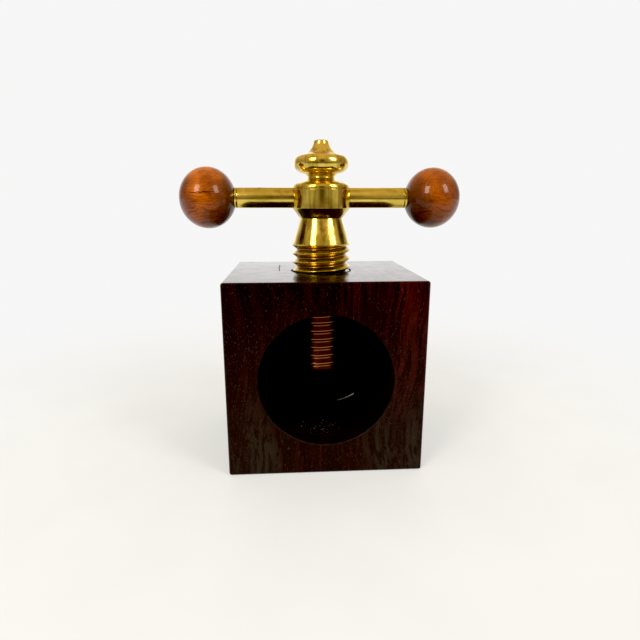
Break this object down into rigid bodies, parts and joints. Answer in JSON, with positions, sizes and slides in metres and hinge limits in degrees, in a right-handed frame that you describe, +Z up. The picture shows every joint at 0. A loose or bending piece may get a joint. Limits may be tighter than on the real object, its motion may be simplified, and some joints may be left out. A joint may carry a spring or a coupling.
{
  "type": "screw nutcracker",
  "caption": "Tabletop nutcracker: a wooden block with a round chamber, and a brass screw through its top worked by a handle with ball ends.",
  "frame": {"origin": "middle of the block's underside, which is on the screw's axis", "axes": "+Z up along the screw; the chamber opens towards -Y; the handle's arms lie along X"},
  "size_m": [0.0978, 0.056, 0.1094],
  "materials": {
    "rosewood": "oiled and polished, near-black brown",
    "ball_wood": "polished reddish brown",
    "brass": "polished"
  },
  "bodies": {
    "block": {"nut_block": "rosewood"},
    "finial": {"finial": "brass"},
    "screw": {"screw_spindle": "brass", "arm_left": "brass", "arm_right": "brass", "ball_insert_left": "brass", "ball_insert_right": "brass", "ball_left": "ball_wood", "ball_right": "ball_wood"}
  },
  "joints": [
    {"name": "screw_feed", "type": "slide", "parent": "block", "child": "finial", "axis": [0, 0, 1], "range_m": [-0.009, 0.024]},
    {"name": "screw_turn", "type": "hinge", "parent": "finial", "child": "screw", "pos_m": [0, 0, 0.0904], "axis": [0, 0, 1], "range_deg": [-1080, 2880]}
  ],
  "couplings": [
    {"joint": "screw_feed", "follows": "screw_turn", "m_per_rad": 0.00047746}
  ]
}
